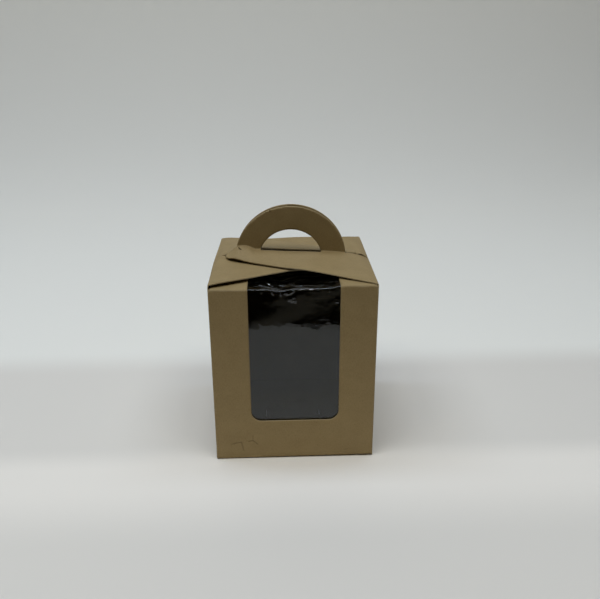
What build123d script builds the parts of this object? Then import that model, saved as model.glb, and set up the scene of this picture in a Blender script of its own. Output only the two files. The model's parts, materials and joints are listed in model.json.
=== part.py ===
from build123d import *
import math
import os

# A carry carton for one cupcake, folded from kraft board. Its clear window wraps over the top front fold,
# and its handle is two half rings that stand face to face.
# Millimetres. The origin is the middle of the base on the table, +X is right and -Y is the window side.

# The box
width = 92.0
depth = 92.0
front_height = 107.0
side_rise = 1.0
board = 0.5
fold_radius = 1.0
corner_relief = 0.2
glue_flap_width = 12.0
glue_flap_setback = 9.0
glue_flap_taper = 3.0

# The window and its film
window_width = 50.2
window_sill = 25.4
window_run_on_top = 28.0
window_corner = 6.0
film_thickness = 0.2
film_margin = 7.0
film_bend = 1.0

# The flaps that stay shut
dust_flap_length = 37.0
dust_flap_taper = 3.0
dust_flap_corner = 5.0
short_flap_past_middle = 8.0
short_flap_knee = 7.0
short_flap_knee_rise = 1.5
short_flap_tip_rise = 1.8
short_flap_tip_width = 17.9
short_flap_corner = 4.0

# The handle flaps
slit = 0.5
crease_play = 0.15
handle_flap_tip_width = 6.2
tip_from_far_side = 7.5
tip_corner = 4.0
root_flat = 1.5
knee_distance = 7.0

# The handle: two half rings with a gap between their faces
ring_gap = 0.2
ring_outer_radius = 32.6
ring_width = 14.0
ring_shift = 0.3
ring_centre_rise = 0.8
finger_cut = 1.7

# How far each handle flap has risen above the side fold, at its inner edge and at its outer edge: at the knee,
# the near foot of the ring, the middle, the far side of the finger hole, the far foot and past the tip
front_flap_rises = [(2.3, 0.8), (3.5, 1.6), (5.2, 2.8), (6.1, 2.7), (9.0, 3.7), (3.6, 4.8)]
rear_flap_rises = [(2.3, 0.8), (3.8, 1.6), (4.4, 2.8), (3.5, 2.7), (2.8, 2.4), (2.2, 2.2)]

# The locking base
layer_gap = 0.1
front_base_flap_length = 46.0
lock_tongue_width = 34.0
lock_tongue_length = 13.0
lock_ramp_length = 5.0
lock_play = 1.0
back_base_flap_length = 57.0
side_base_flap_length = 41.0
side_base_flap_angle = 45.0
base_flap_taper = 3.0
base_flap_corner = 5.0

half_width = width / 2
half_depth = depth / 2
side_height = front_height + side_rise
wall_head = front_height - fold_radius
fold_end_x = half_width - fold_radius - corner_relief
fold_end_y = half_depth - fold_radius - corner_relief
layer_pitch = board + layer_gap
side_base_z = layer_pitch
back_base_z = 2 * layer_pitch
tongue_z = 3 * layer_pitch
lock_y = front_base_flap_length - half_depth
hinge_x = half_width - board / 2
hinge_z = side_height - board / 2
inner_y = -(ring_gap + board) / 2
tip_x = tip_from_far_side - half_width
ring_centre_z = side_height + ring_centre_rise
finger_radius = ring_outer_radius - ring_width


def round_corners(outline, corners, radius):
    """Rounds the vertices of an outline that stand at the given points."""
    chosen = [v for v in outline.vertices() if any((Vector(v) - corner).length < 0.001 for corner in corners)]
    return fillet(chosen, radius)


def folded(*outside, bend=fold_radius, thickness=board):
    """The edge-on section of a folded sheet. The points run along its outside, with the sheet on their left."""
    points = [Vector(*point) for point in outside]
    steps = [(end - start).normalized() for start, end in zip(points, points[1:])]
    lefts = [Vector(-step.Y, step.X) for step in steps]
    inside = [points[0] + lefts[0] * thickness]
    for point, before, after in zip(points[1:-1], lefts, lefts[1:]):
        inside.append(point + (before + after) * (thickness / (1 + before.dot(after))))
    inside.append(points[-1] + lefts[-1] * thickness)
    section = Polygon(*points, *reversed(inside), align=None)
    for i in range(1, len(points) - 1):
        turns_left = steps[i - 1].cross(steps[i]).Z > 0
        far, near = (points[i], inside[i]) if turns_left else (inside[i], points[i])
        section = round_corners(section, [far], bend)
        section = round_corners(section, [near], bend - thickness)
    return section


def across_x(section, half_length):
    """A sheet whose section is drawn in Y and Z."""
    return extrude(Plane.YZ * section, half_length, both=True)


def across_y(section, half_length):
    """A sheet whose section is drawn in X and Z."""
    return extrude(Plane.XZ * section, half_length, both=True)


def upright(outline, low, high):
    """A prism whose outline is drawn in X and Y."""
    return extrude(Plane.XY.offset(low) * outline, high - low, dir=(0, 0, 1))


def block(low, high):
    """A block from its lowest to its highest corner."""
    size = Vector(*high) - Vector(*low)
    return Pos(*low) * Box(size.X, size.Y, size.Z, align=Align.MIN)


def rounded_polygon(points, corners, radius):
    return round_corners(Polygon(*points, align=None), [Vector(*corner) for corner in corners], radius)


def walls():
    """The four walls, bent round the box. The right wall ends in a raw edge over the fold of the back wall."""
    seam_x = half_width - board
    strip = folded(
        (seam_x, half_depth - fold_radius - board),
        (seam_x, half_depth),
        (-half_width, half_depth),
        (-half_width, -half_depth),
        (half_width, -half_depth),
        (half_width, 0),
    )
    seam_wall = block((seam_x, 0, 0), (half_width, half_depth - fold_radius, wall_head))
    body = upright(strip, 0, wall_head) + seam_wall
    feet = [
        block((-fold_end_x, -half_depth, 0), (fold_end_x, -half_depth + board, fold_radius)),
        block((-fold_end_x, half_depth - board, 0), (fold_end_x, half_depth, back_base_z + fold_radius)),
        block((-half_width, -fold_end_y, 0), (-half_width + board, fold_end_y, side_base_z + fold_radius)),
        block((half_width - board, -fold_end_y, 0), (half_width, fold_end_y, side_base_z + fold_radius)),
    ]
    for foot in feet:
        body -= foot
    return body


def glue_flap():
    """The flap that joins the back wall to the inside of the right wall."""
    inner_x = half_width - 2 * board
    low = glue_flap_setback
    high = wall_head - glue_flap_setback
    root_y = half_depth - fold_radius - board
    edge_y = half_depth - glue_flap_width
    outline = Polygon(
        (root_y, low), (root_y, high), (edge_y, high - glue_flap_taper), (edge_y, low + glue_flap_taper), align=None
    )
    return extrude(Plane.YZ.offset(inner_x) * outline, board)


def dust_flap():
    """The top of the front wall: its fold and the flap that lies under the side flaps."""
    tip_y = dust_flap_length - half_depth
    root_y = 2 * fold_radius - half_depth
    section = folded((tip_y, front_height), (-half_depth, front_height), (-half_depth, wall_head), bend=fold_radius)
    tip_half = fold_end_x - dust_flap_taper
    tips = [(tip_half, tip_y), (-tip_half, tip_y)]
    outline = rounded_polygon(
        [(-fold_end_x, -half_depth), (fold_end_x, -half_depth), (fold_end_x, root_y), *tips, (-fold_end_x, root_y)],
        tips,
        dust_flap_corner,
    )
    return across_x(section, half_width) & upright(outline, wall_head, front_height)


def outer_edge(x, end_x, end_width):
    """The outer edge of a flap in plan: straight from the front right corner to the flap's tip."""
    root_x = half_width - fold_radius
    return (fold_end_y - end_width) * (root_x - x) / (root_x - end_x) - fold_end_y


def short_flap():
    """The front half of the left wall's top: its fold, and the flap that lies under the right handle flap."""
    tip = short_flap_past_middle
    tip_height = side_height + short_flap_tip_rise
    knee = (short_flap_knee - half_width, side_height + short_flap_knee_rise)
    section = folded((tip, tip_height), knee, (-half_width, side_height), (-half_width, wall_head))
    edge = -slit / 2
    corners = [(tip, -short_flap_tip_width), (tip, edge)]
    outline = rounded_polygon(
        [(-half_width, edge), (-half_width, -fold_end_y), (fold_radius - half_width, -fold_end_y), *corners],
        corners,
        short_flap_corner,
    )
    return across_y(section, half_depth) & upright(outline, wall_head, tip_height + board)


def crease_edge():
    """The raw top edge of the right wall's front half, close under the crease of its handle flap."""
    top = hinge_z - board / 2 - crease_play
    return block((half_width - board, -fold_end_y, wall_head), (half_width, -slit / 2, top))


def front_base_flap():
    """The outermost base flap. Its tongue climbs through the back flap's notch and lies on that flap."""
    section = folded(
        (-half_depth, fold_radius),
        (-half_depth, 0),
        (lock_y, 0),
        (lock_y + lock_ramp_length, tongue_z),
        (lock_y + lock_tongue_length, tongue_z),
    )
    shoulder = fold_end_x - base_flap_taper
    neck = lock_tongue_width / 2
    tip_y = lock_y + lock_tongue_length
    outline = rounded_polygon(
        [
            (-fold_end_x, -half_depth),
            (fold_end_x, -half_depth),
            (fold_end_x, fold_radius - half_depth),
            (shoulder, lock_y - base_flap_corner),
            (neck, lock_y),
            (neck, tip_y),
            (-neck, tip_y),
            (-neck, lock_y),
            (-shoulder, lock_y - base_flap_corner),
            (-fold_end_x, fold_radius - half_depth),
        ],
        [(neck, tip_y), (-neck, tip_y)],
        base_flap_corner,
    )
    return across_x(section, half_width) & upright(outline, 0, tongue_z + board)


def side_base_flap():
    """The left wall's base flap, which leaves the middle of the base free for the lock."""
    tip = side_base_flap_length - half_width
    section = folded((-half_width, side_base_z + fold_radius), (-half_width, side_base_z), (tip, side_base_z))
    notch_x = -lock_tongue_width / 2 - lock_play
    notch_y = lock_y - lock_play
    slope = math.tan(math.radians(side_base_flap_angle))
    front_run = (tip + half_width - fold_radius) * slope / 2
    back_run = (notch_x + half_width - fold_radius) * slope
    outline = Polygon(
        (-half_width, -fold_end_y),
        (fold_radius - half_width, -fold_end_y),
        (tip, front_run - fold_end_y),
        (tip, notch_y),
        (notch_x, notch_y),
        (notch_x, fold_end_y - back_run),
        (fold_radius - half_width, fold_end_y),
        (-half_width, fold_end_y),
        align=None,
    )
    return across_y(section, half_depth) & upright(outline, side_base_z, side_base_z + fold_radius)


def back_base_flap():
    """The innermost base flap, with the notch that the front flap's tongue comes up through."""
    tip_y = half_depth - back_base_flap_length
    section = folded((tip_y, back_base_z), (half_depth, back_base_z), (half_depth, back_base_z + fold_radius))
    shoulder = fold_end_x - base_flap_taper
    notch = lock_tongue_width / 2 + lock_play
    notch_y = lock_y + lock_ramp_length + lock_play
    outline = rounded_polygon(
        [
            (-fold_end_x, half_depth),
            (-fold_end_x, half_depth - fold_radius),
            (-shoulder, tip_y),
            (-notch, tip_y),
            (-notch, notch_y),
            (notch, notch_y),
            (notch, tip_y),
            (shoulder, tip_y),
            (fold_end_x, half_depth - fold_radius),
            (fold_end_x, half_depth),
        ],
        [(-shoulder, tip_y), (shoulder, tip_y)],
        base_flap_corner,
    )
    return across_x(section, half_width) & upright(outline, back_base_z, back_base_z + fold_radius)


def window_opening():
    """The cut through the front wall, over the fold and into the dust flap."""
    half = window_width / 2
    end_y = window_run_on_top - half_depth
    low = [(-half, window_sill), (half, window_sill)]
    front = rounded_polygon([*low, (half, front_height), (-half, front_height)], low, window_corner)
    far = [(half, end_y), (-half, end_y)]
    top = rounded_polygon([(-half, -half_depth), (half, -half_depth), *far], far, window_corner)
    through_front = extrude(Plane.XZ.offset(half_depth) * front, -fold_radius)
    return through_front + upright(top, wall_head - board, front_height)


def carton():
    half_turn = Rot(Z=180)
    top = dust_flap() + short_flap() + crease_edge()
    base = front_base_flap() + side_base_flap() + mirror(side_base_flap(), Plane.YZ) + back_base_flap()
    return walls() + glue_flap() + top + half_turn * top + base - window_opening()


def window_film():
    """The film lies against the board on the inside, and turns the corner with it."""
    outer_y = board - half_depth
    low_z = window_sill - film_margin
    high_z = front_height - board
    end_y = window_run_on_top + film_margin - half_depth
    section = folded((end_y, high_z), (outer_y, high_z), (outer_y, low_z), bend=film_bend, thickness=film_thickness)
    return across_x(section, window_width / 2 + film_margin)


def handle_flap(rises):
    """The right wall's handle flap: a tapering strip, twisted so that its inner edge climbs to the half ring."""
    root = [(hinge_x, (0, 0)), (hinge_x - root_flat, (0, 0))]
    knee_x = hinge_x - knee_distance
    places = [knee_x, ring_outer_radius, 0, -finger_radius, -ring_outer_radius, tip_x - tip_corner]
    stations = root + list(zip(places, rises))
    heights = [(x, side_height + inner, side_height + outer) for x, (inner, outer) in stations]
    outer_ys = [outer_edge(x, tip_x, handle_flap_tip_width) - board for x, inner, outer in heights]
    inner_rim = Spline(*[(x, inner_y, inner) for x, inner, outer in heights])
    outer_rim = Spline(*[(x, y, outer) for y, (x, inner, outer) in zip(outer_ys, heights)])
    sheet = Face.make_surface_from_curves(inner_rim.edge(), outer_rim.edge())
    tip_end = (tip_x, -handle_flap_tip_width)
    outline = rounded_polygon(
        [(half_width, 0), (half_width, -fold_end_y), (half_width - fold_radius, -fold_end_y), tip_end, (tip_x, 0)],
        [tip_end],
        tip_corner,
    )
    strip = extrude(sheet, board, dir=(0, 0, -1)) & upright(outline, wall_head, side_height + half_depth)
    strip -= Pos(-ring_shift, 0, ring_centre_z) * Rot(X=90) * Cylinder(finger_radius, 2 * finger_cut)
    rounded_end = Circle(board / 2) - Pos(-board, 0) * Rectangle(2 * board, 2 * board)
    hinge_edge = extrude(Plane.XZ.offset(slit / 2) * Pos(hinge_x, hinge_z) * rounded_end, fold_end_y - slit / 2)
    return strip + hinge_edge + half_ring([(x, inner - board / 2) for x, inner, outer in heights])


def half_ring(crease):
    """The half ring above the crease, whose line is given in X and Z."""
    top = ring_centre_z + 2 * ring_outer_radius
    start, end = crease[0], crease[-1]
    above = make_face([Spline(*crease), *Polyline(end, (end[0], top), (start[0], top), start).edges()])
    outline = Pos(-ring_shift, ring_centre_z) * (Circle(ring_outer_radius) - Circle(finger_radius)) & above
    return extrude(Plane.XZ.offset(ring_gap / 2) * outline, board)


os.makedirs("parts", exist_ok=True)
parts = {
    "carton": carton(),
    "window_film": window_film(),
    "right_handle_flap": handle_flap(front_flap_rises),
    "left_handle_flap": Rot(Z=180) * handle_flap(rear_flap_rises),
}
for name, solid in parts.items():
    export_step(solid, f"parts/{name}.step")
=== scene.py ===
import json
import math

import bpy
import numpy as np
from mathutils import Matrix, Vector, noise
from mathutils.geometry import delaunay_2d_cdt
from mathutils.kdtree import KDTree


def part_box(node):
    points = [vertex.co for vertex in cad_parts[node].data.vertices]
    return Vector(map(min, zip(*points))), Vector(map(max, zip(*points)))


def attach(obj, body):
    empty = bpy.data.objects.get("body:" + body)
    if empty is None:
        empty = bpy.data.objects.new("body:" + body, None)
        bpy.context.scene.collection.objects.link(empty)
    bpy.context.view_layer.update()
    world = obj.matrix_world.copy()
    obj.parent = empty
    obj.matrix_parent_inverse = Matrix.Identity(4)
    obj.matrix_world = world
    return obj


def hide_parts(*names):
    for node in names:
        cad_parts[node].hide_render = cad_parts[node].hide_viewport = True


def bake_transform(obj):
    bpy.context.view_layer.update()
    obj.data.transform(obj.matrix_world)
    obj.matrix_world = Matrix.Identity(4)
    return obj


# The kraft window box, dressed. Lengths are in millimetres until a mesh is made. The board is cut
# flat, as on the die, and then folded: flat coordinates run round the walls and up them.

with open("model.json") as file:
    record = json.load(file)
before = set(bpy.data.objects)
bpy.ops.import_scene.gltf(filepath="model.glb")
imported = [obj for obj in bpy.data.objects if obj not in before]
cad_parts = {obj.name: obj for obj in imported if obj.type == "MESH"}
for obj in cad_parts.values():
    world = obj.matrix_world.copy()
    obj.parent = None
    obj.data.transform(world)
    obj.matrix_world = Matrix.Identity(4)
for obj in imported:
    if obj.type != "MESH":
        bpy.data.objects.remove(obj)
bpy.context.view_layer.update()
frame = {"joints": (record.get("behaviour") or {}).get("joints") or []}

MM = 0.001
carton_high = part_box("carton")[1] / MM
film_low, film_high = (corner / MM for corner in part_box("window_film"))
half_width = carton_high.x
half_depth = carton_high.y
hinge_z = frame["joints"][0]["pos_m"][2] / MM

# The box. Flat ends stand a little back from the folds.
board = 0.5
fold_radius = 1.0
front_height = 107.0
side_height = hinge_z + board / 2
corner_height = front_height - 0.4
crease_height = front_height - 0.1
fold_end = half_width - fold_radius - 0.2
end_step = 0.1
slit_edge = 0.25
wall_foot = 0.05

# The window
window_half = 25.1
window_middle = 0.3
window_sill = 25.4
window_on_top = 28.0
window_corner = 6.0

# The top flaps, as far as they reach from the fold, and the shape of their ends
dust_length = 37.0
dust_taper = 3.0
dust_corner = 5.0
short_length = 54.0
short_tip_width = 17.9
short_corner = 4.0

# The locking base
layer_pitch = 0.6
front_base_length = 46.0
tongue_half = 17.0
tongue_length = 13.0
tongue_ramp = 5.0
back_base_length = 57.0
side_base_length = 41.0
base_taper = 3.0
base_corner = 5.0
lock_play = 1.0
neck_play = 0.35

# The glue flap
glue_low, glue_high = 9.0, 97.0
glue_taper = 3.0
glue_edge = 34.0

# The handle
ring_face = -0.6
ring_outer = 32.6
ring_height = 29.0
finger_radius = 18.6
finger_cut = 1.7
valley = 0.35
tip_x = 7.5 - half_width
tip_width = 6.2
tip_corner = 5.0
slash = [(-31.4, -0.85), (-30.1, -1.95), (-28.9, -3.6), (-30.5, -2.3)]

# Each handle flap. Rises are heights above the side fold: place along the box, inner edge, outer
# edge. The ring's centre is across and up, lean is how far the ring tips back at its top, and
# corner is the rise of the wall where the flap's crease ends.
front_flap = {
    "rises": [
        (45.0, 0.2, 1.1), (43.2, 1.2, 1.3), (39.3, 2.5, 1.5), (36.2, 3.2, 1.7), (32.7, 3.8, 1.9),
        (18.0, 5.2, 2.85), (6.0, 5.85, 3.2), (-4.2, 6.35, 2.8), (-17.2, 7.15, 2.95),
        (-21.7, 7.2, 3.05), (-23.7, 8.3, 3.1), (-29.9, 9.2, 3.75), (-32.4, 8.5, 4.1),
        (-34.2, 6.9, 4.2), (-36.2, 5.2, 3.8), (-37.6, 4.2, 3.5), (-38.5, 3.75, 3.4),
    ],
    "ring": (-0.5, 108.3),
    "lean": 2.5,
    "corner": 1.5,
}
rear_flap = {
    "rises": [
        (45.0, 0.0, -0.4), (43.0, 1.4, 0.1), (41.0, 2.8, 0.5), (39.0, 3.5, 0.8), (37.0, 4.7, 1.0),
        (35.0, 6.1, 1.2), (33.0, 7.4, 1.4), (30.0, 7.4, 1.6), (25.0, 6.9, 1.9), (17.0, 6.8, 2.4),
        (0.0, 6.0, 2.9), (-18.0, 5.0, 2.9), (-32.8, 3.8, 3.0), (-38.5, 3.4, 2.9),
    ],
    "ring": (0.35, side_height + 0.8),
    "lean": 0.4,
    "corner": -0.9,
}

# How far a short flap stands above the side fold, by its reach: along its slit and its outer edge
slit_start = [(0, 0.1), (1.2, 0.7), (2.8, 2.0), (4.2, 2.8), (6, 3.0)]
left_slit_rises = [*slit_start, (8, 2.6), (12, 1.8), (20, 1.6), (54, 1.6)]
right_slit_rises = [*slit_start, (8, 2.7), (12, 2.4), (20, 2.3), (54, 2.0)]
left_edge_rises = [(0, 1.2), (10, 1.5), (21, 1.6), (46, 1.3), (54, 1.2)]
right_edge_rises = [(0, -0.3), (3, 0.0), (8, 0.9), (14, 1.6), (24, 1.7), (54, 1.5)]

# How closely the sheets are meshed, and where the back of the board lies on the flat pattern
lattice = 1.6
flap_lattice = 1.1
fine_lattice = 0.36
glue_lattice = 0.35
round_step = 0.7
bend_steps = 5
root_overlap = 0.1
blank_low, blank_high = -62, 166
quarter_bend = math.pi / 2 * fold_radius
blank_unit = 100.0
back_of_board = 300.0


# Folding board


class FoldedLine:
    """A folded sheet edge-on: straight runs and round bends, by the distance along it."""

    def __init__(self, corners, bend=fold_radius):
        corners = [np.array(corner, float) for corner in corners]
        steps = [b - a for a, b in zip(corners, corners[1:])]
        headings = [unit(step) for step in steps]
        self.runs, self.corner_ends = [], []
        here, length = corners[0], 0.0
        for i, heading in enumerate(headings):
            last = i == len(headings) - 1
            ahead = heading if last else headings[i + 1]
            across = heading[0] * ahead[1] - heading[1] * ahead[0]
            turn = math.atan2(across, heading @ ahead)
            trim = bend * math.tan(abs(turn) / 2)
            end = corners[i + 1] - heading * trim
            self.runs.append((length, here, heading, 0.0))
            length += np.linalg.norm(end - here)
            if not last:
                self.runs.append((length, end, heading, turn))
                length += bend * abs(turn)
                here = corners[i + 1] + ahead * trim
                self.corner_ends.append((length, trim))
        self.bend, self.length, self.shift = bend, length, 0.0

    def after(self, corner, distance):
        """The length at a distance past a corner, measured from where the two runs would meet."""
        end, trim = self.corner_ends[corner]
        return end + distance - trim - self.shift

    def bend_stations(self, steps):
        """Where the bends need points."""
        found = []
        for start, _, _, turn in self.runs:
            if turn:
                sweep = self.bend * abs(turn)
                found += [start - self.shift + sweep * k / steps for k in range(steps + 1)]
        return found

    def at(self, length):
        """Places and headings at an array of lengths."""
        length = np.asarray(length, float) + self.shift
        place = np.zeros((len(length), 2))
        heading = np.zeros((len(length), 2))
        for start, here, ahead, turn in self.runs:
            on = length >= start
            if start == 0.0:
                on = np.ones(len(length), bool)
            along = (length[on] - start)[:, None]
            if turn:
                side = np.array([-ahead[1], ahead[0]]) * math.copysign(1, turn)
                angle = np.minimum(along / self.bend, abs(turn))
                place[on] = here + self.bend * (np.sin(angle) * ahead + (1 - np.cos(angle)) * side)
                heading[on] = np.cos(angle) * ahead + np.sin(angle) * side
            else:
                place[on] = here + along * ahead
                heading[on] = ahead
        return place, heading


def unit(vector):
    return vector / np.linalg.norm(vector)


def smooth(low, high, x):
    share = np.clip((x - low) / (high - low), 0, 1)
    return share * share * (3 - 2 * share)


def bell(x, width):
    return np.exp(-((x / width) ** 2))


def through(knots):
    """A smooth curve through points, as a function of the first number."""
    knots = np.array(sorted(knots), float)
    x, y = knots[:, 0], knots[:, 1]
    slope = np.gradient(y, x)

    def curve(at):
        at = np.clip(np.asarray(at, float), x[0], x[-1])
        i = np.clip(np.searchsorted(x, at) - 1, 0, len(x) - 2)
        span = x[i + 1] - x[i]
        t = (at - x[i]) / span
        start = (1 + 2 * t) * (1 - t) ** 2 * y[i] + t * (1 - t) ** 2 * span * slope[i]
        end = t * t * (3 - 2 * t) * y[i + 1] + t * t * (t - 1) * span * slope[i + 1]
        return start + end

    return curve


def rounded(corners, longest=lattice):
    """A closed outline through corners (x, y) or (x, y, radius), with points to fold it by."""
    points = []
    for i, corner in enumerate(corners):
        here = np.array(corner[:2], float)
        radius = corner[2] if len(corner) > 2 else 0
        if not radius:
            points.append(here)
            continue
        before = unit(np.array(corners[i - 1][:2]) - here)
        after = unit(np.array(corners[(i + 1) % len(corners)][:2]) - here)
        half = math.acos(np.clip(before @ after, -1, 1)) / 2
        centre = here + unit(before + after) * radius / math.sin(half)
        start, end = here + before * radius / math.tan(half), here + after * radius / math.tan(half)
        a, b = (math.atan2(*(p - centre)[::-1]) for p in (start, end))
        sweep = (b - a + math.pi) % (2 * math.pi) - math.pi
        steps = max(4, round(abs(sweep) * radius / round_step))
        for k in range(steps + 1):
            angle = a + sweep * k / steps
            points.append(centre + radius * np.array([math.cos(angle), math.sin(angle)]))
    outline = []
    for here, there in zip(points, points[1:] + points[:1]):
        pieces = max(1, math.ceil(np.linalg.norm(there - here) / longest))
        outline += [here + (there - here) * k / pieces for k in range(pieces)]
    return outline


def arc(centre, radius, start, end, steps):
    """Points on a circle from one angle to another, in degrees."""
    angles = [math.radians(start + (end - start) * k / steps) for k in range(steps + 1)]
    return [(centre[0] + radius * math.cos(a), centre[1] + radius * math.sin(a)) for a in angles]


def closest(points, place):
    """Which of the points is nearest a place."""
    return min(range(len(points)), key=lambda i: math.dist(points[i], place))


def inside(points, loop):
    points, loop = np.asarray(points), np.asarray(loop)
    found = np.zeros(len(points), bool)
    for (ax, ay), (bx, by) in zip(loop, np.roll(loop, -1, axis=0)):
        if ay == by:
            continue
        crosses = (ay > points[:, 1]) != (by > points[:, 1])
        found ^= crosses & (points[:, 0] < ax + (points[:, 1] - ay) * (bx - ax) / (by - ay))
    return found


def on_sheet(points, outline, holes):
    keep = inside(points, outline)
    for hole in holes:
        keep &= ~inside(points, hole)
    return keep


def cut_blank(outline, holes, points, clearance):
    """Cuts a flat sheet along its outline and holes. Returns its points and triangles."""
    loops = [outline, *holes]
    rim = [point for loop in loops for point in loop]
    tree = KDTree(len(rim))
    for i, (x, y) in enumerate(rim):
        tree.insert((x, y, 0), i)
    tree.balance()
    points = np.array(points)[on_sheet(points, outline, holes)]
    points = [p for p in points if tree.find((p[0], p[1], 0))[2] > clearance]
    edges, start = [], 0
    for loop in loops:
        edges += [(start + i, start + (i + 1) % len(loop)) for i in range(len(loop))]
        start += len(loop)
    corners = [Vector(p) for p in [*rim, *points]]
    flat, _, faces, *_ = delaunay_2d_cdt(corners, edges, [], 1, 1e-5, False)
    flat = np.array(flat)
    faces = np.array([face for face in faces if len(face) == 3])
    return flat, faces[on_sheet(flat[faces].mean(1), outline, holes)]


def grid(us, vs):
    return [(u, v) for u in us for v in vs]


def stations(low, high, step, extra=()):
    """Evenly spaced values, and the extra ones in place of those that lie close to them."""
    count = max(2, round((high - low) / step))
    even = [low + (high - low) * k / count for k in range(count + 1)]
    return sorted([x for x in even if all(abs(x - e) > 0.4 * step for e in extra)] + list(extra))


def link(name, data):
    """Puts data in the scene as an object."""
    item = bpy.data.objects.new(name, data)
    bpy.context.scene.collection.objects.link(item)
    return item


def fold_mesh(name, flat, faces, place, thickness, wear, back_offset=0.0):
    """Folds a cut blank into a closed sheet. place gives its outer face."""
    reach = 0.02
    step_u, step_v = np.array([reach, 0]), np.array([0, reach])
    outer = place(flat)
    along = place(flat + step_u) - place(flat - step_u)
    up = place(flat + step_v) - place(flat - step_v)
    normal = np.cross(along, up)
    normal /= np.linalg.norm(normal, axis=1)[:, None]
    inner = outer - normal * thickness
    count = len(flat)
    outside = faces.tolist()
    edges = dict.fromkeys(edge for a, b, c in outside for edge in ((a, b), (b, c), (c, a)))
    rim = [(b, a, a + count, b + count) for a, b in edges if (b, a) not in edges]
    behind = [(c + count, b + count, a + count) for a, b, c in outside]
    mesh = bpy.data.meshes.new(name)
    mesh.from_pydata(np.vstack([outer, inner]) * MM, [], [*outside, *behind, *rim])
    sides = 2 * len(outside)
    mesh.polygons.foreach_set("material_index", [0] * sides + [1] * len(rim))
    mesh.polygons.foreach_set("use_smooth", [True] * sides + [False] * len(rim))
    corners = np.zeros(len(mesh.loops), np.int32)
    mesh.loops.foreach_get("vertex_index", corners)
    spread = np.vstack([flat, flat + [0, back_offset]]) / blank_unit
    mesh.uv_layers.new(name="blank").data.foreach_set("uv", spread[corners].ravel())
    # The wear value is rubbed wear above 0 and painted shade along the dents below 0.
    wear_and_crease_shade = mesh.attributes.new("wear_and_crease_shade", "FLOAT", "POINT")
    rubbed = wear(flat)
    wear_and_crease_shade.data.foreach_set("value", np.concatenate([rubbed, rubbed * 0.4]).astype(np.float32))
    mesh.validate()
    return link(name, mesh)


def waver(points, size, depth, seed):
    """A gentle unevenness over points: its size, its depth and which one it is."""
    shift = Vector((seed * 17.3, seed * 5.1, seed * 9.7))
    return depth * np.array([noise.noise(Vector(p) / size + shift) for p in points])


def away_from(points, path):
    """How far flat points lie from a broken line."""
    nearest = np.full(len(points), 1e9)
    for a, b in zip(path, path[1:]):
        a, b = np.array(a, float), np.array(b, float)
        share = np.clip(((points - a) @ (b - a)) / ((b - a) @ (b - a)), 0, 1)
        nearest = np.minimum(nearest, np.linalg.norm(points - a - share[:, None] * (b - a), axis=1))
    return nearest


# The carton: one blank, folded

wall_ring = FoldedLine([
    (half_width - board, glue_edge), (half_width - board, half_depth), (-half_width, half_depth),
    (-half_width, -half_depth), (half_width, -half_depth), (half_width, half_depth - fold_radius),
])
tongue_z = 3 * layer_pitch
tongue_foot = front_base_length + tongue_ramp
front_base_tip = front_base_length + tongue_length


def profile(base_z, height, reach, base):
    """A wall edge-on, from tip to tip of its flaps, with its length equal to Z on the wall."""
    line = FoldedLine([*base, (0, base_z), (0, height), (reach, height)])
    line.fold = len(base) - 1
    line.shift = line.after(line.fold, 10) - base_z - 10
    line.foot, line.top = line.after(line.fold, 0), line.after(line.fold + 1, 0)
    return line


front_base = [(front_base_tip, tongue_z), (tongue_foot, tongue_z), (front_base_length, 0)]
back_base = [(back_base_length, 2 * layer_pitch)]
side_base = [(side_base_length, layer_pitch)]
front_profile = profile(0, front_height, dust_length, front_base)
back_profile = profile(2 * layer_pitch, front_height, dust_length, back_base)
side_profile = profile(layer_pitch, side_height, short_length, side_base)
walls = {
    "back": (wall_ring.after(0, half_width - board), back_profile, half_width),
    "left": (wall_ring.after(1, half_depth), side_profile, half_depth),
    "front": (wall_ring.after(2, half_width), front_profile, half_width),
    "right": (wall_ring.after(3, half_depth), side_profile, half_depth),
}

_, left_wall, front_wall, right_wall = range(len(walls))

short_flap_lifts = {
    left_wall: (through(left_slit_rises), through(left_edge_rises)),
    right_wall: (through(right_slit_rises), through(right_edge_rises)),
}

# Where the front wall is creased, with painted shade along each crease: the line, across and up
# from the middle of the wall's foot, its width and its depth
front_dents = [
    ([(-36.8, 9.8), (-34.0, 10.7), (-31.1, 10.9), (-30.0, 5.3)], 0.6, 0.4),
    ([(-27.1, 11.5), (-24.4, 11.9), (-21.9, 9.6)], 0.55, 0.36),
    ([(-24.3, 15.6), (-24.5, 11.9)], 0.5, 0.2),
    ([(29.3, 3.8), (31.1, 4.6)], 0.6, 0.25),
    ([(-32.4, 17.8), (-31.0, 19.4)], 0.6, 0.1),
    ([(-28.8, 25.4), (-27.4, 27.4)], 0.6, 0.1),
    ([(-19.5, 35.6), (-17.6, 36.6)], 0.5, 0.06),
    ([(35.0, 60.5), (36.3, 62.0)], 0.6, 0.06),
]
front_fold_rise = through([(-46, 0.7), (-25, 0.25), (-5, 0.4), (10, 1.0), (25, 1.6), (46, 1.5)])
back_fold_rise = through([(-46, -0.4), (-20, 0.4), (-5, 0.6), (10, 0.0), (25, -0.7), (46, -0.9)])
foot_lift = through([(-46, 0.3), (46, 1.0)])
left_lean = 1.5
lean_front, lean_foot = -8, 30

# How far each wall bows in, the size, depth and seed of the board's swells, how far from its folds
# a wall is held straight, how far down the top folds' rises reach, and how far along at a corner
wall_bows = [0.35, 0.3, 0.12, 0.4]
board_swells = [(30.0, 0.16, 1), (11.0, 0.05, 2)]
held_straight = 12
rise_reach = 30
corner_reach = 14
foot_reach = 7.0
crease_shade_width = 0.4
flap_crown = 0.35


def wall_of(flat):
    """For each flat point: its wall's number, and how far along the wall it is from the middle."""
    ends = [(middle - half, middle + half) for middle, _, half in walls.values()]
    bounds = [(before[1] + after[0]) / 2 for before, after in zip(ends, ends[1:])]
    number = np.searchsorted(bounds, flat[:, 0])
    middles = np.array([middle for middle, _, _ in walls.values()])
    return number, flat[:, 0] - middles[number]


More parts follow.
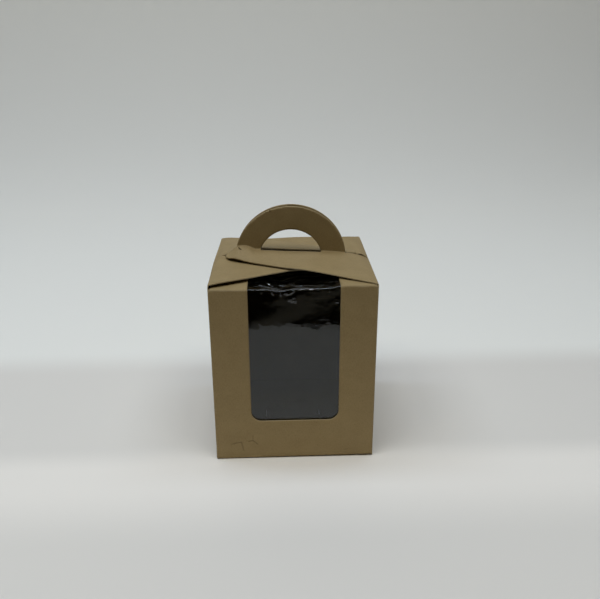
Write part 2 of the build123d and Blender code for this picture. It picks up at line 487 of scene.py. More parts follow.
def sag(number, s, v, rough=1.0):
    """How far the board has drawn in from flat, along its own normal."""
    points = np.column_stack([s + 200.0 * number, v, np.zeros(len(s))])
    on_wall = smooth(0, held_straight, v) * smooth(0, held_straight, front_height - v)
    across = np.clip(1 - (s / half_width) ** 2, 0, 1)
    bow = np.choose(number, wall_bows) * across * on_wall
    uneven = sum(waver(points, *swell) for swell in board_swells) * rough
    held = smooth(0, 4, half_width - np.abs(s))
    return bow + (uneven + 0.1) * np.minimum(on_wall + 0.25, 1) * held


def corner_rise(front_rise, back_rise, from_front, from_back):
    """How the top of a side wall follows the folds of the front and back walls at its corners."""
    front, back = smooth(corner_reach, 0, from_front), smooth(corner_reach, 0, from_back)
    return front_rise * front + back_rise * back


def lean_in(points):
    """The left wall's top leans in towards the back corner."""
    x, y, z = points.T
    share = smooth(lean_foot, side_height, z) * smooth(lean_front, half_depth, y)
    return points + np.column_stack([left_lean * share * smooth(0, half_width, -x), 0 * y, 0 * z])


def short_flap_lift(number, s, reach):
    """How far a side wall's short flap stands above its fold."""
    outer = half_depth - (half_depth - short_tip_width) * np.clip(reach, 0, None) / short_length
    share = np.clip((s - slit_edge) / (outer - slit_edge), 0, 1) ** 0.8
    inner, edge = (lift(reach) for lift in short_flap_lifts[number])
    return (inner + (edge - inner) * share) * smooth(-9, 0.3, reach)


def fold_carton(flat):
    """Folds flat points of the blank into the outer face of the box."""
    number, s = wall_of(flat)
    v = flat[:, 1]
    round_place, round_heading = wall_ring.at(flat[:, 0])
    inward = np.column_stack([-round_heading[:, 1], round_heading[:, 0]])
    depth, height, tilt = v * 0, v.copy(), np.tile([0.0, 1.0], (len(flat), 1))
    drawn = sag(number, s, v)
    front = number == front_wall
    for path, width, dent in front_dents:
        drawn[front] += dent * bell(away_from(np.column_stack([s, v])[front], path), width)
    for i, (_, line, half) in enumerate(walls.values()):
        on = (number == i) & (np.abs(s) < half - fold_radius - 0.1)
        place, heading = line.at(v[on])
        depth[on], height[on], tilt[on] = place[:, 0], place[:, 1], heading
        reach = v - line.top
        share = smooth(-rise_reach, 0, reach)
        if i in short_flap_lifts:
            short = on & (s > 0)
            height[short] += short_flap_lift(i, s[short], reach[short])
            way = 1 if i == left_wall else -1
            ends = (front_fold_rise(-way * half_width), back_fold_rise(way * half_width))
            rise = corner_rise(*ends, half_depth - way * s, half_depth + way * s)
        else:
            rise = front_fold_rise(s) if i == front_wall else back_fold_rise(s)
        height += np.where(number == i, rise * share, 0)
    depth += drawn * tilt[:, 1]
    height -= drawn * np.abs(tilt[:, 0]) * smooth(50, 60, v)
    foot = walls["front"][1].foot
    height += np.where(front, foot_lift(s) * bell(v - foot, foot_reach), 0)
    return lean_in(np.column_stack([round_place + inward * depth[:, None], height]))


def top_flap(name, corners):
    """Flap corners given as (along the wall, reach from the top fold, radius)."""
    middle, line, _ = walls[name]
    return [(middle + s, line.top + reach, *radius) for s, reach, *radius in corners]


def base_flap(name, corners):
    """Flap corners given as (along the wall, reach from the bottom fold, radius)."""
    middle, line, _ = walls[name]
    found = []
    for s, reach, *radius in corners:
        bend_saves = (2 - math.pi / 2) * fold_radius if reach > 2 * fold_radius else 0
        found.append((middle + s, line.foot - reach + bend_saves, *radius))
    return found


def mirrored(corners):
    """The other half of a flap, or the flap of the other side."""
    return [(-s, *rest) for s, *rest in reversed(corners)]


def carton_outline():
    """The edge of the blank, from the foot of the back wall round to the glue flap."""
    neck = tongue_half + neck_play
    shoulder = fold_end - base_taper
    slot = 2 * half_depth - tongue_foot - lock_play
    flap_foot = (fold_end, 0.8)
    back_half = [
        (neck, slot), (neck, back_base_length), (shoulder, back_base_length, base_corner),
        flap_foot,
    ]
    front_half = [
        (tongue_half, front_base_tip, base_corner), (tongue_half, front_base_length),
        (shoulder, front_base_length - base_corner), flap_foot,
    ]
    notch = half_width - neck
    side_flap = [
        (-fold_end, 0.8), (notch - fold_radius - fold_end, notch), (lock_play, notch),
        (lock_play, side_base_length),
        (fold_end - (side_base_length - fold_radius) / 2, side_base_length), flap_foot,
    ]
    layers = {
        "back": (2, mirrored(back_half) + back_half),
        "left": (1, side_flap),
        "front": (0, mirrored(front_half) + front_half),
        "right": (1, mirrored(side_flap)),
    }
    glue = wall_ring.after(0, 0) - fold_radius
    ring = [(glue, wall_foot)]
    for name, (layer, corners) in layers.items():
        middle, _, half = walls[name]
        low, straight = layer * layer_pitch + fold_radius, half - fold_radius
        ring += [(middle - straight, wall_foot), (middle - straight, low)]
        ring += [(middle - fold_end, low), *base_flap(name, corners), (middle + fold_end, low)]
        ring += [(middle + straight, low), (middle + straight, wall_foot)]
    ring[-1] = (ring[-1][0], corner_height)
    ring.append((walls["right"][0] + fold_end, corner_height))
    short = [
        (fold_end, 1.0), (short_tip_width, short_length, short_corner),
        (slit_edge, short_length, short_corner),
    ]
    half_dust = [(fold_end, 2 * fold_radius), (fold_end - dust_taper, dust_length, dust_corner)]
    for name in reversed(walls):
        middle = walls[name][0]
        if name != "right":
            ring.append((middle + fold_end + end_step, corner_height))
        if name in ("front", "back"):
            ring += top_flap(name, half_dust + mirrored(half_dust))
        else:
            ring += top_flap(name, short)
            ring += [(middle + slit_edge, crease_height), (middle - fold_end, crease_height)]
        ring.append((middle - fold_end - end_step, corner_height))
    ring += [(glue, corner_height), (glue, glue_high), (0, glue_high - glue_taper)]
    ring += [(0, glue_low + glue_taper), (glue, glue_low)]
    return rounded(ring)


def window_outline():
    """The window, from its sill to where it ends on the dust flap."""
    middle, line, _ = walls["front"]
    far = line.top + window_on_top
    left, right = window_middle - window_half, window_middle + window_half
    corners = [(left, window_sill), (right, window_sill), (right, far), (left, far)]
    return rounded([(middle + s, v, window_corner) for s, v in corners])


def around(path, reach, step):
    """Points on a fine grid close to a broken line."""
    path = np.array(path)
    low, high = path.min(0) - reach, path.max(0) + reach
    points = np.array(grid(np.arange(low[0], high[0], step), np.arange(low[1], high[1], step)))
    return points[away_from(points, path) < reach]


def carton_points():
    """Where the blank needs points: an even grid, closer along the folds and at the dents."""
    points = []
    for i, (middle, line, half) in enumerate(walls.values()):
        straight = half - fold_radius
        columns = stations(middle - straight, middle + straight, lattice)
        rows = stations(blank_low, blank_high, lattice, line.bend_stations(bend_steps))
        points += grid(columns, rows)
        if i < right_wall:
            bend = [middle + straight + quarter_bend * k / bend_steps for k in range(1, bend_steps)]
            points += grid(bend, stations(0, corner_height, lattice))
    root = wall_ring.after(0, 0) - fold_radius
    points += grid(stations(0, root, lattice), stations(glue_low, glue_high, lattice))
    back = walls["back"][0] - half_width + fold_radius
    points += grid(stations(root, back, glue_lattice), stations(0, corner_height, lattice))
    front = walls["front"][0]
    for path, _, _ in front_dents:
        points += [(front + s, v) for s, v in around(path, 2.2, fine_lattice)]
    return points


def carton_wear_and_crease_shade(flat):
    """How rubbed the folds and corners are, up to 1, and below 0 the painted shade along a dent."""
    number, s = wall_of(flat)
    v = flat[:, 1]
    nearest = np.full(len(flat), 1e9)
    for i, (_, line, half) in enumerate(walls.values()):
        on = number == i
        for fold in (line.top, line.foot):
            nearest[on] = np.minimum(nearest[on], np.abs(v[on] - fold + 0.2))
        in_wall = on & (v > 0) & (v < front_height)
        side = np.abs(half - 0.21 - np.abs(s))
        nearest[in_wall] = np.minimum(nearest[in_wall], side[in_wall])
    wear_and_crease_shade = bell(nearest, 0.75)
    patchy = 0.65 + 0.7 * np.array([noise.noise(Vector((u / 5, w / 5, 3))) for u, w in flat])
    from_corner = np.hypot((half_width - np.abs(s)) / 2.5, (v - front_height) / 3.0)
    wear_and_crease_shade = np.clip(wear_and_crease_shade * patchy + 0.5 * bell(from_corner, 1), 0, 1)
    crease_shade, front = np.zeros(len(flat)), number == front_wall
    for path, _, dent in front_dents:
        apart = away_from(np.column_stack([s, v])[front], path)
        # Painted shade along each dent, stored as a value below 0.
        crease_shade_here = min(1, 3 * dent) * bell(apart, crease_shade_width)
        crease_shade[front] = np.maximum(crease_shade[front], crease_shade_here)
    return wear_and_crease_shade - crease_shade


def make_carton():
    outline, window = carton_outline(), window_outline()
    flat, faces = cut_blank(outline, [window], carton_points(), 0.5)
    return fold_mesh("carton_blank", flat, faces, fold_carton, board, carton_wear_and_crease_shade, back_of_board)


# The handle flaps: a strip that climbs to a half ring, and wraps over the side fold


class HandleFlap:
    """The right wall's handle flap, flat: along the box, and up from the crease of the ring."""

    def __init__(self, rises, ring, lean, corner):
        self.inner = through([(x, side_height + inner) for x, inner, outer in rises])
        self.outer = through([(x, side_height + outer) for x, inner, outer in rises])
        (self.centre_x, self.centre_z), self.lean, self.corner = ring, lean, corner
        self.root = half_width - fold_radius
        self.end = self.root + quarter_bend + root_overlap
        self.left, self.right = (self.foot(ring_outer, side) for side in (-1, 1))

    def outer_edge(self, x):
        """Where the strip's outer edge is in plan."""
        share = (self.root - x) / (self.root - tip_x)
        return -fold_end + (fold_end - tip_width) * share

    def foot(self, radius, side):
        """Where a circle of the ring meets the crease on one side."""
        x = self.centre_x + side * radius
        for _ in range(20):
            rise = self.inner([x])[0] - self.centre_z
            x = self.centre_x + side * math.sqrt(radius**2 - rise**2)
        return x

    def circle(self, radius, steps):
        """An arc of the ring, from its right foot to its left, as flat points above the crease."""
        feet = [self.foot(radius, side) for side in (1, -1)]
        rises = [self.inner([x])[0] - self.centre_z for x in feet]
        ends = [math.degrees(math.atan2(z, x - self.centre_x)) for x, z in zip(feet, rises)]
        path = arc((self.centre_x, self.centre_z), radius, *ends, steps)
        points = [(x, z - self.inner([x])[0]) for x, z in path]
        return [p for p in points if p[1] > valley]

    def outline(self):
        right, left, edge = self.right, self.left, -ring_face - slit_edge
        arch = self.circle(ring_outer, 72)
        first, last = (arch[0][0] + 0.02, valley * 0.9), (arch[-1][0] - 0.02, valley * 0.9)
        strip = rounded([
            (tip_x, edge), (tip_x, -tip_width - ring_face, tip_corner),
            (self.root, -fold_end - ring_face), (self.end, -fold_end - ring_face),
            (self.end, edge), (self.root, edge), (right + 0.9, edge),
            (right + 0.6, -valley), (right + 0.3, -valley), first,
            last, (left - 0.3, -valley), (left - 0.6, -valley), (left - 0.9, edge),
        ])
        strip = [tuple(p) for p in strip]
        return strip[: closest(strip, first) + 1] + arch + strip[closest(strip, last) :]

    def finger_hole(self):
        right, left = self.foot(finger_radius, 1), self.foot(finger_radius, -1)
        arch = self.circle(finger_radius, 48)
        cut = [
            (left - 0.1, 0.0), (left + 0.2, -finger_cut, 0.5),
            (right - 0.2, -finger_cut, 0.5), (right + 0.1, 0.0),
        ]
        floor = [tuple(p) for p in rounded([arch[-1], *cut, arch[0]])]
        return floor[: closest(floor, arch[0]) + 1] + arch[1:-1]

    def points(self):
        fold = [self.root + quarter_bend * k / bend_steps for k in range(bend_steps + 1)]
        columns = stations(-ring_outer - 6, self.end, flap_lattice, fold)
        crease = [valley * k / 3 for k in range(-4, 5)]
        rows = stations(-half_depth, ring_outer, flap_lattice, crease)
        return grid(columns, rows)

    def strip_height(self, x, y):
        """The strip's upper face: straight across the width, with a slight crown."""
        inner, outer = self.inner(x), self.outer(x)
        share = np.clip((y - ring_face) / (self.outer_edge(x) - ring_face), -0.2, 1.1)
        crown = flap_crown * share * (1 - share) * smooth(0, 12, self.root - x)
        return inner + (outer - inner) * share + crown

    def place(self, flat):
        u, v = flat[:, 0], flat[:, 1]
        x = np.minimum(u, self.root)
        y = ring_face + v
        z = self.strip_height(x, y)
        points = np.column_stack([x, y, z])
        hinged = (x < self.right + 0.25) & (x > self.left - 0.25)
        crest = self.inner(x)
        up = hinged & (v >= valley)
        points[up, 1] = ring_face
        points[up, 2] = crest[up] + v[up]
        turning = hinged & (np.abs(v) < valley)
        t = (v[turning] + valley) / (2 * valley)
        edge = np.full(len(x), ring_face)
        start = np.column_stack([x, edge - valley, self.strip_height(x, edge - valley)])[turning]
        corner = np.column_stack([x, edge, crest])[turning]
        end = corner + [0, 0, valley]
        t = t[:, None]
        points[turning] = (1 - t) ** 2 * start + 2 * t * (1 - t) * corner + t * t * end
        stands = np.where(hinged, np.clip(v - valley, 0, None), 0)
        points[:, 1] -= (self.lean + 0.1 * np.sin(x / 9.0)) * stands / ring_height
        over = u > self.root
        angle = np.clip((u[over] - self.root) / fold_radius, 0, math.pi / 2)
        down = np.clip((u[over] - self.end) / root_overlap + 1, 0, 1)
        points[over, 0] = self.root + fold_radius * np.sin(angle)
        shoulder = z[over] - fold_radius * (1 - np.cos(angle))
        wall_top = crease_height + self.corner * smooth(corner_reach, 0, half_depth + y[over])
        wall_top = np.minimum(wall_top, z[over] - fold_radius - 0.12)
        points[over, 2] = shoulder + (wall_top - shoulder) * down
        return points

    def wear(self, flat):
        u, v = flat[:, 0], flat[:, 1]
        fold = bell(u - self.root - 0.8, 0.9)
        crease = bell(v, 0.5) * ((u < self.right) & (u > self.left))
        tip = bell(u - tip_x, 1.5)
        return np.clip(0.8 * fold + 0.7 * crease + 0.3 * tip, 0, 1)


def make_handle_flap(name, shape, half_turn):
    flap = HandleFlap(**shape)
    cuts = [flap.finger_hole()] if half_turn else [flap.finger_hole(), rounded(slash, 0.5)]
    flat, faces = cut_blank(flap.outline(), cuts, flap.points(), 0.3)

    def place(points):
        folded = flap.place(points)
        return lean_in(folded * [-1, -1, 1]) if half_turn else folded

    return fold_mesh(name, flat, faces, place, board, flap.wear, back_of_board)


# The window film

film_gap = 0.02
film_thickness = 0.08
film_bend = 0.9
film_end = film_high.y + half_depth
film_sill = window_sill - front_height
film_sag = 1.4
film_swell, film_ripple, fold_ripple = (26.0, 0.06, 5), (9.0, 0.05, 6), (3.2, 0.045, 7)
film_set_back = 0.6
film_lattice, sill_lattice, close_lattice, bend_lattice = 1.4, 0.7, 0.4, 0.15
crease_reach, crease_lattice = 0.9, 0.19
strip_tilt = 50.7
strip_half = 36.0
strip_flatness = 1.0

# Creases in the film, across the window and past its fold, where less than 0 is on the front: the
# line, its width and its height
film_creases = [
    ([(-14.8, 13.2), (-12.0, 10.6), (-9.3, 7.5), (-6.5, 4.5)], 0.34, 0.42),
    ([(-18.6, 8.9), (-13.0, 6.0), (-7.7, 3.8)], 0.34, 0.4),
    ([(-21.0, 7.0), (-15.0, 4.2), (-9.0, 2.6)], 0.3, 0.22),
    ([(-7.4, 12.6), (-6.0, 11.6), (-4.8, 12.9)], 0.6, 0.55),
    ([(-2.4, 13.7), (1.1, 9.5), (4.4, 6.9)], 0.34, 0.4),
    ([(1.0, 6.4), (8.0, 6.9), (16.7, 5.7), (20.0, 2.6)], 0.6, 0.5),
    ([(19.2, 10.6), (24.5, 7.4)], 0.7, 0.55),
    ([(-4.4, -0.9), (-2.2, -1.5), (-0.5, -0.7), (1.0, 0.8)], 0.34, 0.42),
    ([(-3.7, 0.2), (-1.4, 0.7)], 0.38, 0.4),
    ([(-12.2, 1.6), (-11.2, -1.2)], 0.4, 0.2),
    ([(-18.2, 1.5), (-17.4, -1.0)], 0.4, 0.16),
    ([(-7.6, 1.6), (-6.6, -1.4)], 0.4, 0.22),
    ([(18.4, 1.4), (19.4, -1.2)], 0.35, 0.2),
    ([(-2.0, -4.9), (0.2, -4.3)], 0.34, 0.6),
    ([(-1.4, -5.4), (0.6, -6.3)], 0.34, 0.6),
    ([(23.4, -8.1), (24.4, -8.7)], 0.34, 0.4),
]
film_fold_rise = through([
    (-33, 0.4), (-24.3, 0.4), (-13.4, -0.1), (-7.3, -1.0), (-3, -0.4), (2.9, 0.4), (12, 0.3),
    (18.2, 0.4), (25, 1.4), (33, 1.7),
])


def film_line():
    """The film edge-on: up the inside of the front wall, over the fold and under the dust flap."""
    wall_y, top_z = board + film_gap, front_height - board - film_gap
    corners = [(wall_y, film_low.z), (wall_y, top_z), (film_end, top_z)]
    line = FoldedLine(corners, film_bend)
    line.shift = line.after(0, 0)
    return line


def pressed_flat(x, v):
    """How far the film's fold lies inside its round bend, where it is pressed to a flat strip."""
    width = smooth(-1, 3, x) * smooth(21, 16, x) + 0.35 * smooth(-24, -20, x) * smooth(-8, -12, x)
    half = np.radians(strip_half) * width + 1e-6
    turned = v / film_bend + math.pi / 2 - 1
    angle = np.minimum(np.abs(turned - np.radians(strip_tilt)), half)
    return film_bend * (np.cos(half) / np.cos(angle) - 1) * strip_flatness


def fold_film(flat):
    x, v = flat[:, 0], flat[:, 1]
    place, heading = film_line().at(v)
    out = np.column_stack([-heading[:, 1], heading[:, 0]])
    beside = window_half - np.abs(x - window_middle)
    free = smooth(0, 3.5, beside) * smooth(0, 4, v - film_sill)
    free *= smooth(0, 4, window_on_top - v)
    points = np.column_stack([x, v, np.zeros(len(x))])
    lift = waver(points, *film_swell) + waver(points, *film_ripple) * smooth(-16, -4, v)
    lift += waver(points, *fold_ripple) * bell(v, 3.5)
    lift -= film_sag * smooth(1.4, 9, v) * (1 - (x / window_half) ** 2)
    lift += pressed_flat(x, v)
    for path, width, height in film_creases:
        lift += height * np.exp(-away_from(flat, path) / width)
    lift = np.where(v < 0.5, np.minimum(lift * free, 0.5), lift * free)
    set_back = smooth(-5, 0, beside) * smooth(-5, 0, v - film_sill) * smooth(-35, -60, v)
    lift -= film_set_back * set_back
    drawn = sag(np.full(len(x), front_wall), x, front_height + v, 1 - 0.9 * free)
    depth = place[:, 0] + out[:, 0] * lift + drawn * heading[:, 1]
    rise = front_fold_rise(x) * (1 - free) + film_fold_rise(x) * free
    rise *= smooth(-rise_reach, 0, v)
    height = place[:, 1] + out[:, 1] * lift - drawn * np.abs(heading[:, 0]) + rise
    return np.column_stack([x, depth - half_depth, height])


def make_film():
    half, low, high = film_high.x, film_low.z - front_height + board, film_end - 2.0
    outline = rounded([(-half, low), (half, low), (half, high), (-half, high)], 1.2)
    edge, sill = window_half + 1, film_sill + 6
    points = grid(stations(-half, half, film_lattice), stations(low, high, film_lattice))
    points = [(x, v) for x, v in points if abs(x) > edge or not (-11 < v < 17 or v < sill)]
    columns = stations(close_lattice - edge, edge - close_lattice, sill_lattice)
    points += grid(columns, stations(low, sill, sill_lattice))
    columns = stations(close_lattice - edge, edge - close_lattice, close_lattice)
    rows = [*stations(-10.6, -1.0, close_lattice), *stations(-0.7, 1.1, bend_lattice)]
    rows += stations(1.4, 16.6, close_lattice)
    near = np.array(grid(columns, rows))
    apart = np.min([away_from(near, path) for path, _, _ in film_creases], axis=0)
    points += near[apart > crease_reach].tolist()
    for path, _, _ in film_creases:
        points += around(path, crease_reach, crease_lattice).tolist()
    flat, faces = cut_blank(outline, [], points, 0.3)

    def unworn(flat):
        return np.zeros(len(flat))

    return fold_mesh("clear_film", flat, faces, fold_film, film_thickness, unworn)


# Finishes

# What the Light Path node tells of a ray, by the number of its output
camera_ray, diffuse_ray, glossy_ray, transmission_ray = 0, 2, 3, 6


class Wire:
    """A value in a finish. Arithmetic on it adds the Math nodes that work it out."""

    def __init__(self, finish, socket):
        self.finish, self.socket = finish, socket

    def math(self, operation, *values):
        sockets = {i: value for i, value in enumerate(values)}
        return self.finish.add("ShaderNodeMath", {"operation": operation}, sockets)

    def __add__(self, other):
        return self.math("ADD", self, other)

    def __sub__(self, other):
        return self.math("SUBTRACT", self, other)

    def __rsub__(self, other):
        return self.math("SUBTRACT", other, self)

    def __mul__(self, other):
        return self.math("MULTIPLY", self, other)

    __radd__, __rmul__ = __add__, __mul__


class Finish:
    """The nodes of a material or of the world."""

    def __init__(self, owner):
        owner.use_nodes = True
        self.owner, self.tree = owner, owner.node_tree
        self.tree.nodes.clear()

    def add(self, kind, settings=None, sockets=None, output=0):
        """Adds a node, sets it up and returns one of its outputs."""
        node = self.tree.nodes.new(kind)
        for key, value in (settings or {}).items():
            setattr(node, key, value)
        for key, value in (sockets or {}).items():
            if isinstance(value, Wire):
                self.tree.links.new(value.socket, node.inputs[key])
            else:
                node.inputs[key].default_value = value
        return Wire(self, node.outputs[output]) if len(node.outputs) else node

    def on_blank(self):
        """The place on the flat pattern, in millimetres."""
        place = self.add("ShaderNodeUVMap", {"uv_map": "blank"})
        return self.stretched(place, (blank_unit, blank_unit, 1))

    def bump(self, strength, distance, height):
        sockets = {"Strength": strength, "Distance": distance, "Height": height}
        return self.add("ShaderNodeBump", {}, sockets)

    def stretched(self, vector, scale):
        return self.add("ShaderNodeVectorMath", {"operation": "MULTIPLY"}, {0: vector, 1: scale})

    def noise(self, vector, scale, detail=3.0, roughness=0.5):
        sockets = {"Vector": vector, "Scale": scale, "Detail": detail, "Roughness": roughness}
        return self.add("ShaderNodeTexNoise", {"noise_dimensions": "2D"}, sockets)

    def between(self, value, low, high):
        """0 below low, 1 above high, smooth between."""
        sockets = {"Value": value, "From Min": low, "From Max": high}
        return self.add("ShaderNodeMapRange", {"interpolation_type": "SMOOTHSTEP"}, sockets)

    def shown(self, shader):
        """Ends a material with its shader."""
        self.add("ShaderNodeOutputMaterial", {}, {"Surface": shader})
        return self.owner

    def seen(self):
        """1 for what is seen, also mirrored or through the film, and 0 for light that bounces."""
        rays = (camera_ray, glossy_ray, transmission_ray)
        camera, glossy, through = (self.add("ShaderNodeLightPath", output=ray) for ray in rays)
        return camera.math("MAXIMUM", camera, glossy.math("MAXIMUM", glossy, through))

    def mix(self, factor, a, b):
        settings = {"data_type": "RGBA", "blend_type": "MIX"}
        return self.add("ShaderNodeMix", settings, {0: factor, 6: a, 7: b}, output=2)


kraft_light = (0.297, 0.227, 0.112, 1)
kraft_dark = (0.248, 0.186, 0.088, 1)
kraft_fleck = (0.145, 0.105, 0.047, 1)
kraft_rubbed = (0.36, 0.30, 0.18, 1)
kraft_core = (0.43, 0.36, 0.23, 1)
film_gloss = (0.95, 0.96, 0.97, 1)
film_tint = (0.62, 0.63, 0.63, 1)
film_ior = 1.51

# The paper under and behind the box, and the light that it gives back when it isn't seen
paper_dark = (0.715, 0.725, 0.72, 1)
paper_light = (0.735, 0.745, 0.74, 1)
# A painted pool of light on the floor just in front of the box
painted_light_by_the_foot = (0.84, 0.845, 0.835, 1)
paper_behind = (0.84, 0.875, 0.875, 1)
paper_up_the_sweep = (0.75, 0.775, 0.765, 1)
paper_unseen = (0.93, 0.87, 0.77, 1)

# The dark room in front: what the film mirrors, with a painted band that the film shows as a
# reflection, and the light that it gives the box
room_dark = (0.002, 0.002, 0.002, 1)
painted_reflection_band = (0.14, 0.13, 0.1, 1)
room_unseen = (0.02, 0.013, 0.004, 1)
reflection_band_slope = 0.33


def kraft_board(name, cut_edge=False):
    """Uncoated brown board: fibres along the grain, cloudy tone, dark flecks, rubbed folds and
    painted shade in dents.
    """
    finish = Finish(bpy.data.materials.new(name))
    flat = finish.on_blank()
    cloud = finish.noise(flat, 0.11, 3, 0.55)
    fibre = finish.noise(finish.stretched(flat, (3.2, 0.55, 1)), 1.0, 4, 0.62)
    cross_fibre = finish.noise(finish.stretched(flat, (0.9, 2.4, 1)), 1.0, 3, 0.6)
    grain = fibre * 0.55 + cross_fibre * 0.45
    tone = finish.between(cloud * 0.25 + grain * 0.75, 0.36, 0.64)
    colour = finish.mix(tone, kraft_dark, kraft_light)
    speck = finish.noise(finish.stretched(flat, (1.9, 0.9, 1)), 1.0, 1, 0.4)
    colour = finish.mix(finish.between(speck, 0.74, 0.83) * 0.55, colour, kraft_fleck)
    if cut_edge:
        colour = finish.mix(0.7, colour, kraft_core)
    wear_and_crease_shade = finish.add("ShaderNodeAttribute", {"attribute_name": "wear_and_crease_shade"}, output=2)
    rubbed = finish.between(wear_and_crease_shade * (0.55 + grain * 0.9), 0.25, 1.1)
    colour = finish.mix(rubbed * 0.6, colour, kraft_rubbed)
    # Painted shade: the fleck colour darkens the board along the dents, where the value is below 0.
    colour = finish.mix(finish.between(0 - wear_and_crease_shade, 0.0, 1.0) * 0.5, colour, kraft_fleck)
    roughness = 0.56 + grain * 0.22 + wear_and_crease_shade * 0.1
    bump = finish.bump(0.5, 0.00006, grain + cloud * 0.4)
    sockets = {"Base Color": colour, "Roughness": roughness, "Normal": bump}
    sockets["Specular IOR Level"] = 0.35
    return finish.shown(finish.add("ShaderNodeBsdfPrincipled", {}, sockets))


def clear_film():
    """Thin clear film: what lies behind shows through, and the gloss is stronger at a slant."""
    finish = Finish(bpy.data.materials.new("clear_film"))
    flat = finish.on_blank()
    ripple = finish.noise(flat, 0.09, 2, 0.5)
    bump = finish.bump(0.35, 0.0004, ripple)
    sockets = {"Color": film_gloss, "Roughness": 0.03, "Normal": bump}
    gloss = finish.add("ShaderNodeBsdfGlossy", {}, sockets)
    see_through = finish.add("ShaderNodeBsdfTransparent", {}, {"Color": film_tint})
    slant = finish.add("ShaderNodeFresnel", {}, {"IOR": film_ior, "Normal": bump})
    shader = finish.add("ShaderNodeMixShader", {}, {0: slant, 1: see_through, 2: gloss})
    return finish.shown(shader)


def pale_paper():
    """The floor and the sweep behind it, with a painted pool of light by the foot of the box, and a
    little paler behind it.
    """
    finish = Finish(bpy.data.materials.new("pale_paper"))
    place = finish.add("ShaderNodeTexCoord", output=3)
    along = finish.add("ShaderNodeSeparateXYZ", {}, {0: place}, output=1)
    cloud = finish.noise(place, 1.3, 2, 0.5)
    colour = finish.mix(finish.between(cloud, 0.3, 0.7), paper_dark, paper_light)
    # Painted pool of light on the floor in front of the foot of the box.
    foot = finish.between(along, -0.12, -0.07) * (1 - finish.between(along, -0.055, -0.03))
    colour = finish.mix(foot, colour, painted_light_by_the_foot)
    colour = finish.mix(finish.between(along, 0.06, 0.10), colour, paper_behind)
    sweep_end = sweep_start + sweep_radius
    colour = finish.mix(finish.between(along, sweep_start, sweep_end), colour, paper_up_the_sweep)
    colour = finish.mix(finish.seen(), paper_unseen, colour)
    sockets = {"Base Color": colour, "Roughness": 0.9, "Specular IOR Level": 0.1}
    return finish.shown(finish.add("ShaderNodeBsdfPrincipled", {}, sockets))


def black_card():
    """The dark room in front, with a painted dim band that the film shows as a slanting reflection.
    """
    finish = Finish(bpy.data.materials.new("black_card"))
    place = finish.add("ShaderNodeTexCoord", output=3)
    across, up = (finish.add("ShaderNodeSeparateXYZ", {}, {0: place}, output=k) for k in (0, 2))
    # A painted band, which the film mirrors as a dim slanting reflection.
    above = up - across * reflection_band_slope
    painted_band = finish.between(above, 0.0, 0.005) * (1 - finish.between(above, 0.012, 0.018))
    colour = finish.mix(painted_band, room_dark, painted_reflection_band)
    unseen = finish.add("ShaderNodeLightPath", output=diffuse_ray)
    colour = finish.mix(unseen, colour, room_unseen)
    shader = finish.add("ShaderNodeEmission", {}, {"Color": colour})
    return finish.shown(shader)


# The studio

floor_half = 3.0
floor_front = -0.2306
sweep_start = 0.5
sweep_radius = 0.3
sweep_height = 1.5
room_height = 1.5
room_dim = (0.075, 0.075, 0.07, 1)
room_pale = (0.60, 0.64, 0.61, 1)

# The panels overhead: their places across, the places, powers and colours of their rows, their
# size and their height
panel_columns = (-0.67, -0.12, 0.43)
panel_rows = [
    (-0.62, (2.3, 2.3, 2.3), (0.97, 0.91, 0.78)),
    (-0.26, (2.2, 2.2, 2.2), (0.94, 0.95, 0.95)),
    (0.16, (1.95, 1.6, 1.3), (0.87, 0.97, 1.12)),
]
panel_size = (0.5, 0.22)
panel_height = 1.3


def stage_sheet(name, points, faces, finish):
    mesh = bpy.data.meshes.new(name)
    mesh.from_pydata(points, [], faces)
    mesh.polygons.foreach_set("use_smooth", [True] * len(faces))
    mesh.materials.append(finish)
    sheet = link(name, mesh)
    return sheet


def make_floor():
    """A pale floor that sweeps up into a backdrop behind the box."""
    sweep = arc((sweep_start, sweep_radius), sweep_radius, -90, 0, 16)
    section = [(-floor_half, 0.0), *sweep, (sweep_start + sweep_radius, sweep_height)]
    points = [(x, y, z) for y, z in section for x in (-floor_half, floor_half)]
    faces = [(2 * i, 2 * i + 1, 2 * i + 3, 2 * i + 2) for i in range(len(section) - 1)]
    stage_sheet("floor", points, faces, pale_paper())


def make_dark_room():
    """Black cards in front of the box and overhead. Only reflections and bounced light see them."""
    side, front, back = floor_half, floor_front, sweep_start + sweep_radius
    top = [(side, front, room_height), (-side, front, room_height)]
    wall = [(-side, front, 0), (side, front, 0), *top]
    roof = [*top, (-side, back, room_height), (side, back, room_height)]
    for name, points in (("front_card", wall), ("roof_card", roof)):
        card = stage_sheet(name, points, [(0, 1, 2, 3)], black_card())
        card.visible_camera = card.visible_shadow = card.visible_transmission = False


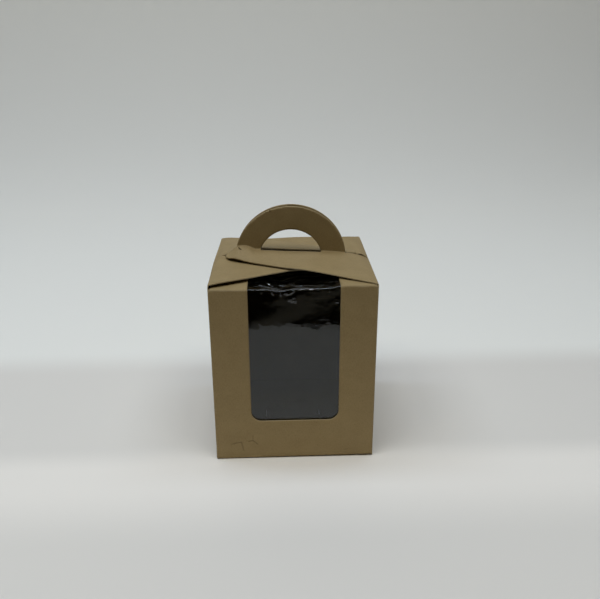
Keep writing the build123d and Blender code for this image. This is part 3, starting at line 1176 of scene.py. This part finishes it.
def make_lights():
    """Soft panels overhead, most of them a little in front of the box."""
    for i, x in enumerate(panel_columns):
        for j, (y, powers, colour) in enumerate(panel_rows):
            lamp = bpy.data.lights.new(f"panel_{i}_{j}", "AREA")
            lamp.shape = "RECTANGLE"
            lamp.size, lamp.size_y = panel_size
            lamp.energy = powers[i]
            lamp.color = colour
            link(lamp.name, lamp).location = (x, y, panel_height)


def make_world():
    """A dim room that looks pale to the camera."""
    finish = Finish(bpy.data.worlds.new("room"))
    colour = finish.mix(finish.seen(), room_dim, room_pale)
    background = finish.add("ShaderNodeBackground", {}, {"Color": colour})
    finish.add("ShaderNodeOutputWorld", {}, {"Surface": background})
    bpy.context.scene.world = finish.owner


def make_camera():
    """The photograph's view, worked out from the corners of the box."""
    place = Vector((-8.84, -396.23, 246.15)) * MM
    yaw, pitch, roll = (math.radians(angle) for angle in (-2.007, 90 - 22.487, -0.256))
    focal_pixels, image_pixels = 705.75, 600
    data = bpy.data.cameras.new("camera")
    data.sensor_width = 36
    data.lens = data.sensor_width * focal_pixels / image_pixels
    data.clip_start = 0.01
    camera = link("camera", data)
    turn = Matrix.Rotation(yaw, 4, "Z") @ Matrix.Rotation(pitch, 4, "X")
    camera.matrix_world = Matrix.Translation(place) @ turn @ Matrix.Rotation(roll, 4, "Z")
    bpy.context.scene.camera = camera


def dress(piece, *finishes):
    for finish in finishes:
        piece.data.materials.append(finish)


face, edge = kraft_board("kraft_board"), kraft_board("kraft_cut_edge", cut_edge=True)
film = clear_film()

carton = make_carton()
dress(carton, face, edge)
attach(carton, "carton")
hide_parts("carton")

window = make_film()
dress(window, film, film)
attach(window, "carton")
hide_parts("window_film")

for side, shape, half_turn in (("right", front_flap, False), ("left", rear_flap, True)):
    flap = make_handle_flap(f"{side}_flap_and_half_ring", shape, half_turn)
    dress(flap, face, edge)
    way = -1 if half_turn else 1
    start = Vector((half_width * way, 0, crease_height - 0.3)) * MM
    end = Vector(((half_width - 1.1) * way, 0, side_height)) * MM
    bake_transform(flap)
    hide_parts(f"{side}_handle_flap")

make_floor()
make_dark_room()
make_lights()
make_world()
make_camera()
bpy.context.scene.view_settings.view_transform = "Standard"
